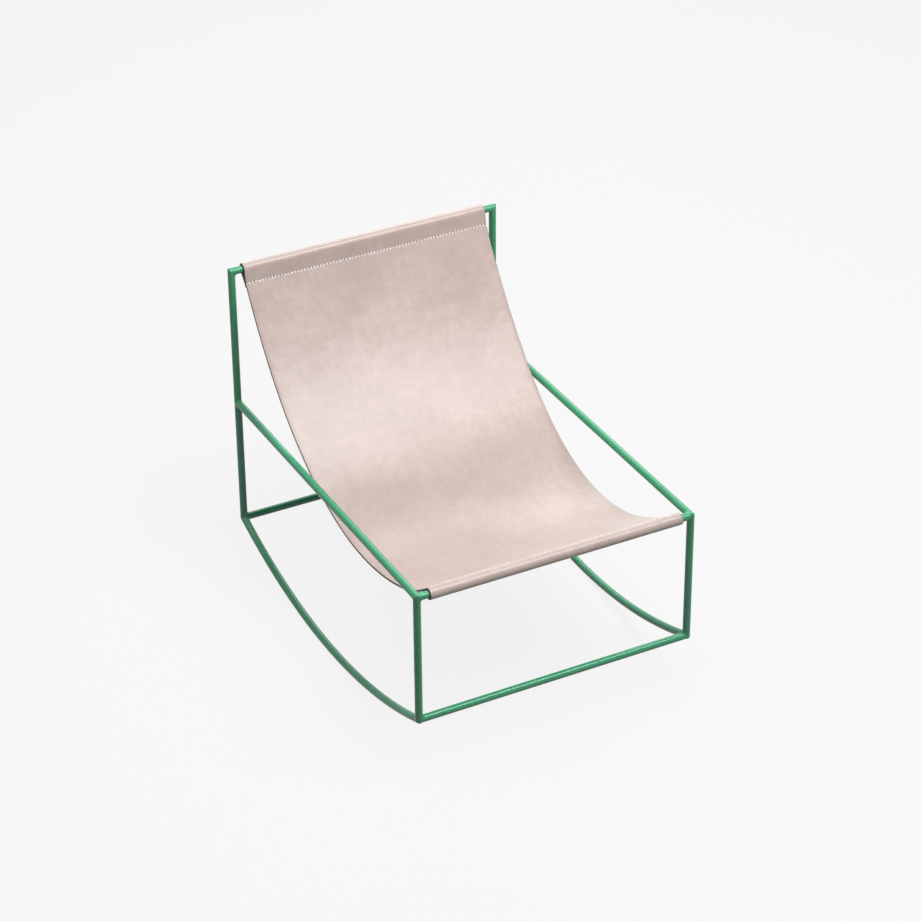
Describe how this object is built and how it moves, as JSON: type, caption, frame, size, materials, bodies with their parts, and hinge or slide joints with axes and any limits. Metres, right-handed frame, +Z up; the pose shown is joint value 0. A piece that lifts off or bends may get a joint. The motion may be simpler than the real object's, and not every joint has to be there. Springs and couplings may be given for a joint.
{
  "type": "rocking chair",
  "caption": "Low rocking chair: a welded frame of thin round tube on arc-shaped rockers, with a leather sling hung from the top rail to the front rail as seat and back.",
  "frame": {"origin": "on the floor, under the middle of the chair's box, with the chair at rest on its rockers", "axes": "+X to the right of someone who looks at the chair from the front, +Y from the front to the back, +Z up; left and right in node names are as seen from the front"},
  "size_m": [0.636, 0.893, 0.694],
  "materials": {
    "green_paint": "gloss",
    "leather": "smooth natural grain with a soft sheen",
    "thread": "matt"
  },
  "bodies": {
    "root": {"rear_upright_left": "green_paint", "rear_upright_right": "green_paint", "front_upright_left": "green_paint", "front_upright_right": "green_paint", "arm_brace_left": "green_paint", "arm_brace_right": "green_paint", "rocker_left": "green_paint", "rocker_right": "green_paint", "top_rail": "green_paint", "front_seat_rail": "green_paint", "front_bottom_rail": "green_paint", "rear_bottom_rail": "green_paint", "weld_top_left_upright_rail": "green_paint", "weld_top_right_upright_rail": "green_paint", "weld_arm_left_brace_upright_above": "green_paint", "weld_arm_left_brace_upright_below": "green_paint", "weld_arm_right_brace_upright_above": "green_paint", "weld_arm_right_brace_upright_below": "green_paint", "weld_front_top_left_upright_brace": "green_paint", "weld_front_top_left_upright_rail": "green_paint", "weld_front_top_left_brace_rail": "green_paint", "weld_front_top_right_upright_brace": "green_paint", "weld_front_top_right_upright_rail": "green_paint", "weld_front_top_right_brace_rail": "green_paint", "weld_front_bottom_left_upright_rocker": "green_paint", "weld_front_bottom_left_upright_rail": "green_paint", "weld_front_bottom_left_rocker_rail": "green_paint", "weld_front_bottom_right_upright_rocker": "green_paint", "weld_front_bottom_right_upright_rail": "green_paint", "weld_front_bottom_right_rocker_rail": "green_paint", "weld_rear_bottom_left_upright_rocker": "green_paint", "weld_rear_bottom_left_upright_rail": "green_paint", "weld_rear_bottom_left_rocker_rail": "green_paint", "weld_rear_bottom_right_upright_rocker": "green_paint", "weld_rear_bottom_right_upright_rail": "green_paint", "weld_rear_bottom_right_rocker_rail": "green_paint", "leather_sling": "leather", "top_hem_stitching": "thread", "front_hem_stitching": "thread"}
  },
  "joints": []
}
